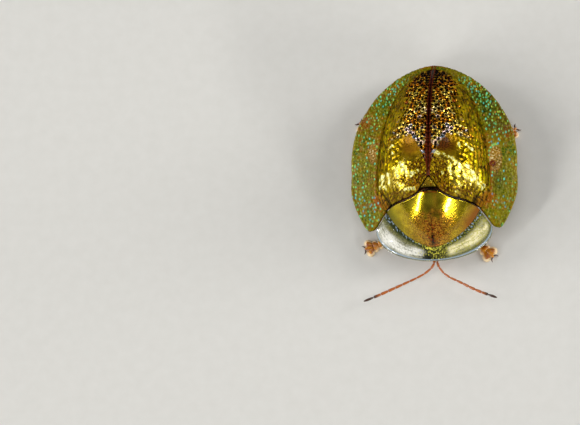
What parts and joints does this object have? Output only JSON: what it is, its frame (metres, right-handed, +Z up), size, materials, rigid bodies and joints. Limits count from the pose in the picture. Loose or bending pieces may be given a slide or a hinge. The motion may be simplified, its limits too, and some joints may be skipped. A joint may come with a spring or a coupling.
{
  "type": "tortoise beetle",
  "caption": "Small dome-backed beetle with a wide flat rim, a rounded shield over its head, beaded feelers and short legs half drawn in.",
  "frame": {"origin": "on the floor under the middle of the whole animal's box, feelers included", "axes": "+Y towards the tail, so the head points to -Y; +X towards the animal's own left; +Z up"},
  "size_m": [0.0059, 0.0084, 0.003],
  "materials": {
    "gold_shell": "mirror-like gold cuticle with rows of pits, dark brown over the middle",
    "gold_shield": "mirror-like gold cuticle with a clear edge",
    "brown_cuticle": "satin dark brown cuticle",
    "amber_cuticle": "satin amber cuticle",
    "pale_feet": "satin orange cuticle with pale foot pads",
    "black_eye": "glossy black facets"
  },
  "bodies": {
    "root": {"elytron_left": "gold_shell", "elytron_right": "gold_shell", "pronotum": "gold_shield", "scutellum": "gold_shell", "prosternum": "amber_cuticle", "thorax": "brown_cuticle", "abdomen": "brown_cuticle", "head": "amber_cuticle", "eye_left": "black_eye", "eye_right": "black_eye", "antenna_left": "amber_cuticle", "antenna_right": "amber_cuticle", "leg_front_left": "pale_feet", "leg_front_right": "pale_feet", "leg_middle_left": "pale_feet", "leg_middle_right": "pale_feet", "leg_hind_left": "pale_feet", "leg_hind_right": "pale_feet"}
  },
  "joints": []
}
